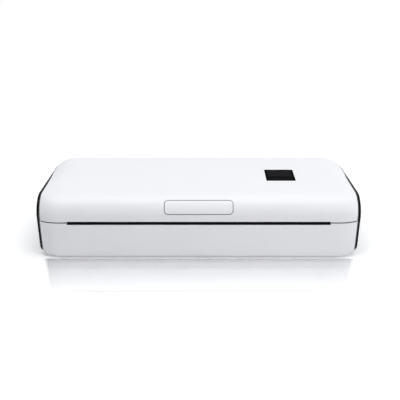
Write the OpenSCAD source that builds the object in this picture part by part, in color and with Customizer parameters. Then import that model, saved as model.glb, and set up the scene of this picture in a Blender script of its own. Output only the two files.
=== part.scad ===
// A4 portable thermal printer with a drop-in paper bay.
// Frame: X across the paper, Y from front to back, Z up; the origin is on the table under the middle of the body.
// A profile drawn in the Y-Z plane is extruded along X by along_x().

/* [Body] */
// Room beside the paper at each end, for gears and boards
end_room = 27; // [24:0.5:32]
// Height of the cover above the parting line
cover_h = 20; // [19:0.25:24]
// Room behind the paper bay for the rear wall and the cover's hinge
rear_room = 7.9; // [7.5:0.1:12]
// Wall thickness of the white shells
wall = 2.2; // [1.8:0.1:2.4]
// Visible gap between the cover and the base
part_gap = 0.4; // [0.3:0.05:0.6]
// Radius of the front top edge
front_r = 17; // [16:0.25:18]
// Radius of the rear top edge
rear_r = 15; // [12:0.5:18]
// Radius of the lower edges
lower_r = 3.4; // [3:0.2:7]

/* [Ends] */
// Length over which each end draws in
taper_len = 16.2; // [14:0.2:18]
// Radius of the curve along which the ends draw in
taper_r = 30; // [26:1:40]
// How far the front face has drawn in at the ends
draw_front = 4.2; // [3:0.2:5]
// How far the rear face has drawn in at the ends
draw_rear = 5; // [3:0.2:6]
// Drop of the top's front edge at the ends
drop_front = 1.8; // [1:0.2:3]
// Drop of the top's rear edge at the ends
drop_rear = 5.4; // [3:0.2:6]
// Rise of the underside at the ends
rise_ends = 3.6; // [3:0.2:7]
// Thickness of an end cap at the front
cap_t = 2.3; // [2:0.1:2.6]
// Gap between an end cap and the opening cover
cover_end_gap = 0.35; // [0.3:0.05:0.6]

/* [Feet] */
// Radius of a rubber foot
foot_r = 5; // [4:0.5:6]
// How far a foot stands out of the underside
foot_out = 0.8; // [0.6:0.1:1.2]
// How deep a foot is let into the underside
foot_in = 0.8; // [0.6:0.1:1]
// Distance of the feet from the middle, across and along
foot_at = [95, 36]; // [90:1:100]

/* [Paper] */
// Widest paper that the bay takes
paper_w = 216; // [210:1:217]
// Radius of the bay's round floor
bay_r = 23; // [22.5:0.25:23.5]
// Wall of the black chassis
chassis_t = 1.6; // [1.4:0.1:1.8]
// Height of the paper exit
slot_h = 2.6; // [2.2:0.1:2.8]
// Pitch of the tear bar's teeth
tear_pitch = 2; // [1.5:0.1:3]

/* [Hinge] */
// Radius of the cover's hinge barrel
hinge_r = 3.8; // [3.6:0.05:4]
// Radius of the hinge pins
pin_r = 1.5; // [1.25:0.05:1.75]
// Thickness of the steel hinge brackets on the chassis
ear_w = 2; // [1.5:0.1:2]
// Radius of a hinge bracket's eye
eye_r = 3; // [2.8:0.1:3.1]
// Running clearance of every turning bore
run_gap = 0.05; // [0.03:0.01:0.08]

/* [Platen] */
// Distance of the platen's axis behind the front face
platen_back = 15.5; // [15.2:0.1:16]
// Distance from the platen's axis to the paper bay, which holds the head, the motor and the boards
mech_d = 34.4; // [32:0.2:40]
// Radius of the rubber platen roller
platen_r = 5; // [4.8:0.1:5.2]
// Radius of the platen's steel shaft
shaft_r = 3; // [2.8:0.05:3.1]
// Radius of the platen's bushes
bush_r = 4; // [3.9:0.05:4.2]
// Gap that the paper fills between the platen and the print head
nip_gap = 0.1; // [0.05:0.01:0.2]

/* [Gears] */
// Module of all the gears
gear_m = 0.7; // [0.68:0.01:0.71]
// Face width of a gear
gear_w = 4; // [3.5:0.1:4.4]
// Teeth: platen gear, idler, compound small, compound large, motor pinion
teeth = [20, 24, 14, 36, 12];
// Thinning of each tooth, which gives the backlash
tooth_thin = 0.1; // [0.08:0.01:0.14]
// Radius of the steel gear axles
axle_r = 1.5; // [1.25:0.05:1.75]

/* [Release button] */
// Width of the release button
button_w = 56.4; // [50:0.5:60]
// Where the button starts and ends round the front edge, in degrees
button_arc = [16, 56]; // [10:1:60]
// Corner radius of the button
button_corner = 3.2; // [2.5:0.1:4]
// Gap round the button
button_gap = 0.35; // [0.25:0.05:0.5]
// Travel of the button
button_travel = 1.2; // [1:0.1:1.3]

/* [Display] */
// Size of the display window
window = [25.4, 24.6]; // [22:0.2:28]
// Middle of the window across the body
window_x = 71.8; // [60:0.2:80]
// Distance of the window's middle from the front face
window_from_front = 53.3; // [50:0.5:56]
// Thickness of the window lens
lens_t = 1.4; // [1.2:0.1:1.5]

/* [Print head] */
// Length of the head's springs under pressure
spring_h = 5.8; // [5:0.1:8]
// Thickness of the head's aluminium bar
heatsink_t = 3.6; // [3.4:0.1:4]
// Thickness of the ceramic strip
ceramic_t = 1.1; // [1:0.1:1.3]

/* [Boards] */
// Length of the main board
board_len = 130; // [120:1:134]
// Length and height of the port board
port_board = [39, 18]; // [18:0.5:42]
// Width and height of the USB socket
usb = [8.9, 3.2]; // [3.2:0.1:9]
// Thickness of the circuit boards
board_t = 1.6; // [1:0.1:2]

/* [Power] */
// Radius of a battery cell
cell_r = 9.2; // [9:0.1:9.2]
// Length of a battery cell
cell_len = 65; // [60:1:70]
// Radius of the power button
power_r = 4; // [3:0.25:4.5]
// Travel of the power button
power_travel = 0.8; // [0.5:0.1:1]

/* [Hidden] */
$fn = 48;
SHELL_WHITE = [0.93, 0.93, 0.94];
TRIM_BLACK = [0.05, 0.05, 0.055];
CHASSIS_BLACK = [0.10, 0.10, 0.11];
STEEL = [0.72, 0.73, 0.75];
ALUMINIUM = [0.80, 0.81, 0.82];
GEAR_WHITE = [0.88, 0.87, 0.82];
RUBBER = [0.13, 0.13, 0.14];

// ---- places that several pieces share, as [y, z] in the side view ----
floor_z = foot_out + wall;
cell_z = floor_z + 0.4 + cell_r;
bracket_top = cell_z + cell_r + 0.2 + 2.4;               // the strip over the battery that the head's springs stand on
head_low = bracket_top + spring_h;
head_top = head_low + heatsink_t + ceramic_t;
nip_z = head_top + nip_gap;
part_z = nip_z - 1;                                      // height of the parting line
body_w = paper_w + 2 * end_room;
body_d = platen_back + mech_d + 2 * (bay_r + chassis_t) + rear_room;
body_h = part_z + cover_h;
front_y = -body_d / 2;
back_y = body_d / 2;
shell_half = body_w / 2 - cap_t;
cover_half = body_w / 2 - cap_t - cover_end_gap;
taper_start = shell_half - taper_len;
inner_front = front_y + wall;
inner_top = body_h - wall;
edge_c = [front_y + front_r, body_h - front_r];          // centre of the front top edge's arc
hinge_c = [back_y - hinge_r - 0.3, part_z + 1.4];
rear_part_z = hinge_c[1] - (back_y - hinge_c[0]);         // the parting line drops to here at the rear
rear_drop = hinge_c[1] - rear_part_z - part_gap / 2;
platen_c = [front_y + platen_back, nip_z + platen_r];
open_dir = let (r = platen_c - hinge_c) [r[1], -r[0]] / norm(r);    // way the platen leaves as the cover opens
bay_half = paper_w / 2 + 1;
bay_wall = 1.8;
bay_c = [back_y - rear_room - chassis_t - bay_r, floor_z + 0.9 + chassis_t + bay_r];
bay_front = bay_c[0] - bay_r - chassis_t;
slot_half = bay_half + 0.3;
slot_top = part_z + 1.1;
slot_low = slot_top - slot_h;
plate_t = 1.5;
plate_x = bay_half + bay_wall;
arm_t = 2.3;
arm_x = plate_x + plate_t + 0.6;
gear_x = arm_x + arm_t + 0.6;                            // first gear layer
gear_x2 = gear_x + gear_w + 0.6;                         // second gear layer
deck_z = part_z - 4;

// ---- gear train ----
PRESSURE = 25;
ADDENDUM = 0.95;
DEDENDUM = 1.2;
function pitch_r(i) = teeth[i] * gear_m / 2;
function polar(r, a) = [r * cos(a), r * sin(a)];
idler_c = platen_c - (pitch_r(0) + pitch_r(1)) * open_dir;
mesh_1 = atan2(platen_c[1] - idler_c[1], platen_c[0] - idler_c[0]) + 180;   // from the platen gear to the idler
mesh_2 = -20;                                                              // from the idler to the compound gear
mesh_3 = -25;                                                              // from the compound gear to the pinion
compound_c = idler_c + polar(pitch_r(1) + pitch_r(2), mesh_2);
motor_c = compound_c + polar(pitch_r(3) + pitch_r(4), mesh_3);
// The turn that puts gear j's gap opposite gear i's tooth along the line of centres
function in_mesh(turn, line, i, j) = line + 180 + 180 / teeth[j] - (turn - line) * teeth[i] / teeth[j];
idler_turn = in_mesh(mesh_1, mesh_1, 0, 1);
compound_turn = in_mesh(idler_turn, mesh_2, 1, 2);
pinion_turn = in_mesh(compound_turn, mesh_3, 3, 4);

// ---- release button and latch ----
press_a = (button_arc[0] + button_arc[1]) / 2;
press_dir = [cos(press_a), -sin(press_a)];
button_t = 3;
bar_t = 2.4;
bar_c = edge_c - (front_r - button_t - 2 - bar_t / 2) * press_dir;
latch_c = edge_c + [-4, 11.6];
latch_pin_r = 1.2;
tenon = [1.6, 1.2];
hook_low = part_z - 5.8;
hook_front = inner_front + 3.1;
catch_out = 1.4;

// ---- print head ----
head_front = platen_c[0] - 8;
head_pivot = [platen_c[0] + 9.5, head_low + 1.4];

// ---- window and boards ----
window_c = [window_x, front_y + window_from_front];
port_x = shell_half - wall - 8;                          // plane of the port board
power_c = [front_y + 27.5, floor_z + 10];
port_c = power_c + [18, 0];
cell_c = [inner_front + 1.5 + cell_r, cell_z];
board_z = floor_z + 3.6;
board_y = cell_c[0] + cell_r + 1.2;
board_d = bay_front - board_y - 0.2;
board_mid = 3;
board_screws = [for (sx = [-1, 1], y = [3, board_d - 4.4]) [board_mid + sx * (board_len / 2 - 4), y]];
post_at = [bay_half - 24, bay_front - 3.4];
gusset_pitch = 40;
gusset_x = let (n = floor(slot_half / gusset_pitch + 0.4)) [for (i = [0.5 - n:n - 0.5]) i * gusset_pitch];
roll_pitch = 30;
roll_x = let (n = floor((bay_half - 8) / roll_pitch)) [for (i = [-n:n]) i * roll_pitch];
rear_post_y = back_y - wall - 3.4;
post_r = 2.6;
screw_r = 1.2;

// ---- general shapes ----
module along_x(x0, len) {
    translate([x0, 0, 0]) rotate([90, 0, 90]) linear_extrude(len) children();
}
module both_ends() {
    children();
    mirror([1, 0, 0]) children();
}
module rounded(size, r) {
    // A rectangle about the origin with round corners
    for (sx = [-1, 1], sy = [-1, 1]) translate([sx * (size[0] / 2 - r), sy * (size[1] / 2 - r)]) circle(r);
    square([size[0] - 2 * r, size[1]], center = true);
    square([size[0], size[1] - 2 * r], center = true);
}
module stadium(size) {
    // A slot about the origin with fully round ends
    for (sx = [-1, 1]) translate([sx * (size[0] - size[1]) / 2, 0]) circle(size[1] / 2);
    square([size[0] - size[1], size[1]], center = true);
}
module slab(p, size) {
    // A block from its lowest corner
    translate(p) cube(size);
}

// ---- the lofted body form ----
TOP_STEPS = 12;
LOW_STEPS = 5;
END_STEPS = 8;
// Share of the full draw-in at a station, along an arc that starts square to the body
function ease(x) =
    let (s = max(0, min(taper_len + 3, abs(x) - taper_start)))
    (taper_r - sqrt(pow(taper_r, 2) - s * s)) / (taper_r - sqrt(pow(taper_r, 2) - pow(taper_len, 2)));
function arc_points(c, r, a0, a1, n) = [for (i = [0:n]) c + polar(r, a0 + (a1 - a0) * i / n)];
// The closed side outline at a station, drawn in by t all round
function section(x, t = 0) =
    let (e = ease(x),
         yf = front_y + draw_front * e + t,
         yb = back_y - draw_rear * e - t,
         zf = body_h - drop_front * e - t,
         zb = body_h - drop_rear * e - t,
         z0 = foot_out + rise_ends * e + t,
         rf = front_r - t,
         rr = rear_r - t,
         rl = max(1, lower_r - t))
    concat(arc_points([yf + rf, zf - rf], rf, 180, 90, TOP_STEPS),
           arc_points([yb - rr, zb - rr], rr, 90, 0, TOP_STEPS),
           arc_points([yb - rl, z0 + rl], rl, 0, -90, LOW_STEPS),
           arc_points([yf + rl, z0 + rl], rl, -90, -180, LOW_STEPS));
function end_stations(half) = [for (i = [0:END_STEPS]) taper_start + (half - taper_start) * sin(90 * i / END_STEPS)];
// Skin of triangles over a list of rings with as many points each
function skin_faces(rings, n) = concat(
    [[for (i = [n - 1:-1:0]) i]],
    [for (k = [0:rings - 2], i = [0:n - 1]) let (a = k * n + i, b = k * n + (i + 1) % n) [a, b, a + n]],
    [for (k = [0:rings - 2], i = [0:n - 1]) let (a = k * n + i, b = k * n + (i + 1) % n) [b, b + n, a + n]],
    [[for (i = [0:n - 1]) (rings - 1) * n + i]]);
module skin(rings) {
    polyhedron([for (r = rings, p = r) p], skin_faces(len(rings), len(rings[0])), convexity = 6);
}
module body_form(half, t = 0) {
    // One loft from end to end: a straight middle, and ends that draw in
    x = end_stations(half);
    n = len(x) - 1;
    skin([for (p = concat([for (i = [n:-1:0]) -x[i]], x)) [for (q = section(p, t)) [p, q[0], q[1]]]]);
}

// ---- gears ----
function involute(a) = tan(a) * 180 / PI - a;
function tooth_half(z, rho) =
    let (r = z * gear_m / 2, base = r * cos(PRESSURE))
    90 / z - tooth_thin / (2 * r) * 180 / PI + involute(PRESSURE) - involute(acos(min(1, base / rho)));
function gear_outline(z, turn) =
    let (r = z * gear_m / 2,
         base = r * cos(PRESSURE),
         tip = r + ADDENDUM * gear_m,
         root = r - DEDENDUM * gear_m,
         foot = max(base, root),
         flank = [for (k = [0:3]) foot + (tip - foot) * k / 3])
    [for (i = [0:z - 1]) let (a = turn + 360 * i / z)
        each concat([polar(root, a - tooth_half(z, foot))],
                    [for (rho = flank) polar(rho, a - tooth_half(z, rho))],
                    [for (k = [3:-1:0]) polar(flank[k], a + tooth_half(z, flank[k]))],
                    [polar(root, a + tooth_half(z, foot))])];
module gear(i, turn, c, x0, bore) {
    // Gear i of the train, at the left end, between x0 and x0 minus its face width
    along_x(-x0 - gear_w, gear_w) translate(c) difference() {
        polygon(gear_outline(teeth[i], turn));
        circle(bore);
    }
}
module rod(c, x0, x1, r) {
    along_x(x0, x1 - x0) translate(c) circle(r);
}

// ---- springs ----
// A coil along Z of round wire, as one skin whose ring planes stand square to the wire
module coil(height, r, wire, turns) {
    steps = 8 * turns;
    function at(i) = [r * cos(360 * i / 8), r * sin(360 * i / 8), wire + (height - 2 * wire) * i / steps];
    skin([for (i = [0:steps]) let (p = at(i), a = 360 * i / 8)
        [for (k = [0:5]) p + wire * cos(60 * k) * [cos(a), sin(a), 0] + [0, 0, wire * sin(60 * k)]]]);
}

// ---- white shells ----
module above_parting(shift) {
    // The side view's region above the parting line, which drops behind the end caps to meet the hinge
    polygon([[-body_d, part_z + shift], [back_y - 17, part_z + shift], [back_y - 10, rear_part_z + shift],
             [body_d, rear_part_z + shift], [body_d, 2 * body_h], [-body_d, 2 * body_h]]);
}
module hinge_relief() {
    // Clears the path of the cover's rear edge as it swings down inside the base
    x = [for (p = end_stations(shell_half - 4)) p];
    r = [for (p = x) norm([back_y - draw_rear * ease(p) - hinge_c[0], rear_drop]) + 0.35];
    n = len(x) - 1;
    translate([0, hinge_c[0], hinge_c[1]]) rotate([0, 90, 0]) rotate_extrude()
        polygon(concat([[0, -x[n]]], [for (i = [n:-1:0]) [r[i], -x[i]]], [for (i = [0:n]) [r[i], x[i]]], [[0, x[n]]]));
}
module base_shell() {
    low = part_z - part_gap / 2;
    color(SHELL_WHITE) difference() {
        union() {
            difference() {
                body_form(shell_half);
                body_form(shell_half - wall, wall);
                along_x(-body_w, 2 * body_w) above_parting(-part_gap / 2);
            }
            // Posts that carry the chassis
            for (sx = [-1, 1]) {
                translate([sx * post_at[0], post_at[1], floor_z - 1]) cylinder(r = post_r, h = deck_z - floor_z + 1);
                translate([sx * post_at[0], rear_post_y, floor_z - 1]) cylinder(r = post_r, h = 23);
            }
            // Cradles for the battery, posts for the main board and slotted guides for the port board
            for (x = [-1, 0, 1] * (cell_len - 17)) along_x(x - 0.8, 1.6) difference() {
                translate([cell_c[0] - cell_r, floor_z - 0.5]) square([2 * cell_r, 5]);
                translate(cell_c) circle(cell_r + 0.04);
            }
            for (p = board_screws) translate([p[0], board_y + p[1], floor_z - 0.5]) cylinder(r = 2.4, h = board_z - floor_z + 0.5);
            for (y = [power_c[0] - 9.5, port_c[0] + 8.5]) difference() {
                slab([port_x - 1.4, y, floor_z - 0.5], [board_t + 2.8, 3, 9]);
                slab([port_x, power_c[0] - 8, floor_z], [board_t, port_board[0] - 3, port_board[1] + 1]);
            }
            // Gussets under the exit guide and catches for the latch hooks
            for (x = gusset_x)
                along_x(x - 0.75, 1.5)
                    polygon([[inner_front - 0.5, low - 9], [inner_front + 4, slot_low - 1.3], [inner_front - 0.5, slot_low - 1.3]]);
            for (sx = [-1, 1])
                along_x(sx * (arm_x + arm_t / 2) - 2, 4)
                    polygon([[inner_front - 0.5, low - 3.4], [inner_front + catch_out, low - 3.0],
                             [inner_front + catch_out, low - 2.2], [inner_front - 0.5, low - 1.4]]);
        }
        hinge_relief();
        // Lowered lip under the paper exit
        slab([-slot_half, front_y - 1, slot_low], [2 * slot_half, wall + 2, slot_h]);
        // Seats for the feet and the case screws
        for (sx = [-1, 1], sy = [-1, 1])
            translate([sx * foot_at[0], sy * foot_at[1], foot_out - 1]) cylinder(r = foot_r + 0.1, h = 1 + foot_in);
        for (sx = [-1, 1], y = [post_at[1], rear_post_y]) translate([sx * post_at[0], y, 0]) {
            cylinder(r = 2.4, h = foot_out + 1.4);
            cylinder(r = screw_r + 0.02, h = deck_z + 1);
        }
        port_cut(shell_half - wall - 1, wall + 2, 0.2);
    }
}
module port_cut(x0, len, grow) {
    // Openings for the USB socket and the power button, through the right end
    along_x(x0, len) {
        translate(port_c) stadium(usb + (0.5 + 2 * grow) * [1, 1] + [0, 0.1]);
        translate(power_c) circle(power_r + 0.2 + grow);
    }
}
module cover_shell() {
    color(SHELL_WHITE) difference() {
        union() {
            intersection() {
                difference() {
                    body_form(shell_half);
                    body_form(cover_half - wall, wall);
                }
                along_x(-cover_half, 2 * cover_half) above_parting(part_gap / 2);
            }
            rod(hinge_c, -bay_half - 1, bay_half + 1, hinge_r);
            // Web between the barrel and the rear wall
            along_x(-bay_half - 1, 2 * bay_half + 2)
                polygon([hinge_c + [-hinge_r + 0.4, 0.6], hinge_c + [0, hinge_r - 0.3], [back_y - wall + 0.5, hinge_c[1] + 9],
                         [back_y - wall / 2, hinge_c[1] + 9], [back_y - wall / 2, hinge_c[1]]]);
        }
        // Room in the rear wall for the eyes of the hinge brackets
        both_ends() rod(hinge_c, bay_half + bay_wall - 0.4, bay_half + bay_wall + ear_w + 0.4, eye_r + 0.4);
        both_ends() rod(hinge_c, bay_half - 12, bay_half + 2, pin_r + run_gap);
        // Raised lip over the paper exit
        slab([-slot_half, front_y - 1, slot_low], [2 * slot_half, wall + 2, slot_h]);
        both_ends() translate([paper_w / 2 - 5, edge_c[0] + 4.5, inner_top - 1]) cylinder(r = 1.02, h = 1.7);
        button_prism([button_w, button_len()], button_corner, button_gap, front_r + 2);
        window_pocket();
    }
}
function button_len() = 2 * front_r * sin((button_arc[1] - button_arc[0]) / 2);
module button_frame() {
    // Puts Z along the button's outward normal, with X across the body
    translate([0, edge_c[0], edge_c[1]]) rotate([90 - press_a, 0, 0]) children();
}
module button_prism(size, corner, grow, reach) {
    button_frame() linear_extrude(reach) polygon(round_points([size[0] + 2 * grow, size[1] + 2 * grow], corner + grow));
}
// The outline of a rectangle about the origin whose corners are finely stepped arcs
function round_points(size, r) =
    [for (q = [0:3], i = [0:6])
        let (c = [(q == 0 || q == 3 ? 1 : -1) * (size[0] / 2 - r), (q < 2 ? 1 : -1) * (size[1] / 2 - r)])
        c + polar(r, 90 * q + 15 * i)];
module edge_ring(r0, r1) {
    // The front edge's arc as a shell between two radii
    translate([0, edge_c[0], edge_c[1]]) rotate([90, 0, 90]) rotate([0, 0, 105])
        rotate_extrude(angle = 78) translate([r0, -button_w]) square([r1 - r0, 2 * button_w]);
}
module window_pocket() {
    ledge = 1.2;
    translate([window_c[0], window_c[1], body_h - lens_t])
        linear_extrude(lens_t + 1) rounded(window + [0.2, 0.2], 0.8);
    translate([window_c[0], window_c[1], inner_top - 1])
        linear_extrude(wall + 1) rounded(window - 2 * [ledge, ledge], 0.6);
}

// ---- end caps ----
// Thickness of a cap at a point of its outline: full at the front, thin along the top, fuller again at the hip
function cap_depth(y) =
    let (u = (y - front_y) / body_d)
    cap_t * (u < 0.18 ? 1 : u < 0.45 ? 1 - 0.38 * (u - 0.18) / 0.27 : u < 0.62 ? 0.62 + 0.23 * (u - 0.45) / 0.17
             : 0.85 - 0.3 * (u - 0.62) / 0.38);
module end_cap_form() {
    x0 = body_w / 2 - cap_t;
    edge = section(x0);
    lip = section(x0 + 0.7 * cap_t);
    face = section(x0 + cap_t, 0.8);
    skin([[for (p = edge) [x0, p[0], p[1]]],
          [for (i = [0:len(edge) - 1]) [x0 + 0.7 * cap_depth(edge[i][0]), lip[i][0], lip[i][1]]],
          [for (i = [0:len(edge) - 1]) [x0 + cap_depth(edge[i][0]) - 0.05, face[i][0], face[i][1]]],
          [for (i = [0:len(edge) - 1]) let (p = section(x0 + cap_t, 5)[i]) [x0 + 0.8 * cap_t, p[0], p[1]]]]);
}
module end_cap(side) {
    color(TRIM_BLACK) difference() {
        if (side > 0) end_cap_form();
        else mirror([1, 0, 0]) end_cap_form();
        if (side > 0) port_cut(body_w / 2 - cap_t - 1, cap_t + 2, 0);
    }
}

// ---- feet and screws ----
module rubber_feet() {
    color(RUBBER) for (sx = [-1, 1], sy = [-1, 1]) translate([sx * foot_at[0], sy * foot_at[1], 0])
        cylinder(r = foot_r, h = foot_out + foot_in);
}
module screw(head_r, head_h, r, len) {
    // A screw that points up, with its head's face at the origin and a cross recess in it
    difference() {
        union() {
            cylinder(r = head_r, h = head_h);
            cylinder(r = r, h = len);
        }
        for (a = [0, 90]) rotate(a) slab([-head_r * 0.6, -0.25, -1], [head_r * 1.2, 0.5, 1.6]);
    }
}
module case_screws() {
    color(STEEL) for (sx = [-1, 1]) {
        translate([sx * post_at[0], post_at[1], foot_out + 0.1]) screw(2.2, 1.3, screw_r, deck_z - foot_out + 1);
        translate([sx * post_at[0], rear_post_y, foot_out + 0.1]) screw(2.2, 1.3, screw_r, floor_z + 22 - foot_out + 1);
    }
}

// ---- chassis with the paper bay ----
module chassis() {
    out_r = bay_r + chassis_t;
    rear_flange = floor_z + 22;
    deck_front = head_pivot[0] + 3.4;
    color(CHASSIS_BLACK) difference() {
        union() {
            // Round floor of the bay
            along_x(-bay_half - bay_wall, 2 * (bay_half + bay_wall)) difference() {
                union() {
                    intersection() {
                        translate(bay_c) circle(out_r);
                        translate([-body_d, 0]) square([2 * body_d, bay_c[1] + 1]);
                    }
                    // Deck that leads the paper to the print head
                    polygon([[deck_front, deck_z], [bay_c[0] - out_r, deck_z], [bay_c[0] - out_r, bay_c[1] - 1],
                             [bay_c[0], bay_c[1] - 1], [bay_c[0] - bay_r, deck_z + chassis_t],
                             [deck_front + 4, part_z - 0.9], [deck_front, part_z - 0.9]]);
                    translate([bay_c[0] + bay_r - 4, rear_flange]) square([rear_post_y + 2.4 - bay_c[0] - bay_r + 4, chassis_t]);
                }
                translate(bay_c) circle(bay_r);
                translate([bay_c[0] - bay_r, bay_c[1]]) square([2 * bay_r, 20]);
            }
            // Ends of the bay
            both_ends() along_x(bay_half, bay_wall) {
                intersection() {
                    translate(bay_c) circle(out_r);
                    translate([-body_d, 0]) square([2 * body_d, bay_c[1]]);
                }
                translate([bay_c[0] - out_r, bay_c[1] - 1]) square([2 * out_r - 3.4, part_z - 0.6 - bay_c[1] + 1]);
            }
            // Low ribs that the roll turns on
            for (x = roll_x) along_x(x - 0.6, 1.2) difference() {
                translate(bay_c) circle(bay_r + 0.5);
                translate(bay_c) circle(bay_r - 0.5);
                translate([-body_d, bay_c[1] - 6]) square([2 * body_d, body_h]);
            }
        }
        for (sx = [-1, 1], y = [post_at[1], rear_post_y]) translate([sx * post_at[0], y, 0])
            cylinder(r = screw_r + 0.02, h = body_h);
        sensor_block([6.2, 4.2], 5);
    }
}
module sensor_block(size, h) {
    translate([30 - size[0] / 2, bay_c[0] - 30 - size[1] / 2, deck_z + 1]) cube([size[0], size[1], h]);
}
module hinge_brackets() {
    // Steel plates on the ends of the bay, whose eyes hold the hinge pins
    eye = hinge_c;
    color(STEEL) both_ends() along_x(bay_half + bay_wall, ear_w) difference() {
        union() {
            translate(eye) circle(eye_r);
            polygon([eye + [0, eye_r], eye + [-9, eye_r + 1], eye + [-19, -2], eye + [-19, -23], eye + [-11, -23],
                     eye + [-8, -5], eye + [-7, -1.2], eye + [-2.4, -1.2]]);
        }
        translate(eye) circle(pin_r + 0.01);
    }
}
module paper_sensor() {
    // Optical paper sensor clipped into the deck
    color(TRIM_BLACK) sensor_block([6, 4], 1.7);
}

// ---- paper exit ----
module exit_guide() {
    y0 = inner_front + 0.2;
    color(CHASSIS_BLACK) along_x(-slot_half + 0.3, 2 * slot_half - 0.6)
        polygon([[y0, slot_low - 1.3], [head_front - 0.5, slot_low - 1.3], [head_front - 0.5, slot_low],
                 [head_front - 1.5, slot_low - 0.02], [y0, slot_low - 0.02]]);
}
module tear_bar() {
    // Toothed strip along the exit's lower lip
    n = floor((2 * slot_half - 2) / tear_pitch);
    y0 = front_y + 0.3;
    color([0.10, 0.10, 0.10]) translate([0, 0, slot_low]) linear_extrude(0.5)
        polygon(concat([[n * tear_pitch / 2, y0 + 4], [-n * tear_pitch / 2, y0 + 4]],
                       [for (i = [0:n - 1]) each [[(i - n / 2) * tear_pitch, y0 + 0.7],
                                                  [(i - n / 2 + 0.5) * tear_pitch, y0]]],
                       [[n * tear_pitch / 2, y0 + 0.7]]));
}
module upper_guide() {
    color(CHASSIS_BLACK) along_x(-slot_half + 0.6, 2 * slot_half - 1.2)
        polygon([[inner_front, slot_top + 0.4], [platen_c[0] - 6.5, slot_top + 0.9],
                 [platen_c[0] - 6.5, slot_top + 1.5], [inner_front, slot_top + 1.8]]);
}

// ---- steel side plates of the mechanism ----
module plate_outline(rear_y) {
    b = bush_r + 0.1;
    difference() {
        polygon([[inner_front + 2.6, floor_z], [rear_y, floor_z], [rear_y, floor_z + 20],
                 [head_pivot[0] + 6, deck_z - 0.4], [head_pivot[0] + 3, part_z - 1.2], [platen_c[0] + b + 1.4, part_z - 0.6],
                 platen_c + [b + 2.6, 3], platen_c + [b + 0.8, 3], platen_c + [b, 0], platen_c + [-b, 0],
                 platen_c + [-b, 0.5], platen_c + [-b - 3, 0.5], platen_c + [-b - 4.4, -5], [inner_front + 2.6, part_z - 5]]);
        translate(platen_c) circle(b);
        translate(head_pivot) circle(pin_r + run_gap);
    }
}
module frame_plate_left() {
    color(STEEL) along_x(-plate_x - plate_t, plate_t) difference() {
        plate_outline(motor_c[0] + 11.5);
        translate(idler_c) circle(axle_r + 0.01);
        translate(compound_c) circle(axle_r + 0.01);
        translate(motor_c) circle(4);
    }
}
module frame_plate_right() {
    color(STEEL) along_x(plate_x, plate_t) plate_outline(head_pivot[0] + 8);
}
module spring_bracket() {
    // Folded strip between the side plates that the head's springs stand on
    color(STEEL) along_x(-plate_x, 2 * plate_x) difference() {
        translate([head_front + 1, bracket_top - 2.4]) square([15, 2.4]);
        translate([head_front + 2.2, bracket_top - 3.6]) square([12.6, 2.4]);
    }
}

// ---- print head ----
module head_heatsink() {
    color(ALUMINIUM) along_x(-bay_half + 0.4, 2 * bay_half - 0.8) difference() {
        union() {
            translate([head_front, head_low]) square([head_pivot[0] - head_front, heatsink_t]);
            translate(head_pivot) circle(2.2);
        }
        translate(head_pivot) circle(pin_r + 0.01);
        // Cooling grooves along the underside
        for (i = [0:2]) translate([head_front + 1.6 + 1.6 * i, head_low - 1]) square([0.7, 2.2]);
    }
}
module head_ceramic() {
    glaze = 0.25;
    color([0.86, 0.84, 0.78]) along_x(-paper_w / 2, paper_w) {
        translate([platen_c[0] - 4.6, head_top - ceramic_t]) square([8.6, ceramic_t - glaze]);
        // Raised heater line under the platen
        polygon([[platen_c[0] - 1.2, head_top - glaze], [platen_c[0] + 1.2, head_top - glaze],
                 [platen_c[0] + 0.5, head_top], [platen_c[0] - 0.5, head_top]]);
    }
}
module head_driver_cover() {
    // Moulded cover over the driver chips behind the heater line
    color(TRIM_BLACK) along_x(-paper_w / 2 + 2, paper_w - 4)
        polygon([[platen_c[0] + 4.2, head_top - ceramic_t], [head_pivot[0] - 0.6, head_top - ceramic_t],
                 [head_pivot[0] - 0.6, head_top - 0.4], [platen_c[0] + 6.4, head_top - 0.2], [platen_c[0] + 4.2, head_top - 0.8]]);
}
module head_pins() {
    color(STEEL) both_ends() rod(head_pivot, bay_half - 8, plate_x + plate_t + 0.3, pin_r);
}
SPRING_X = [for (i = [-1.5:1.5]) i * (paper_w / 4 - 2)];
module head_springs() {
    color(STEEL) for (x = SPRING_X)
        translate([x, platen_c[0] - 0.4, bracket_top]) coil(head_low - bracket_top - 0.1, 2.1, 0.35, 4);
}
module head_ribbon() {
    // Flat cable from the head's rear edge down to the main board
    y = head_pivot[0] + 3.4;
    z = board_z + board_t;
    color([0.82, 0.80, 0.72]) along_x(-22, 44)
        polygon([[y, head_low + 3], [y - 0.3, head_low + 3], [y - 0.3, z], [y, z]]);
}

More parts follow.
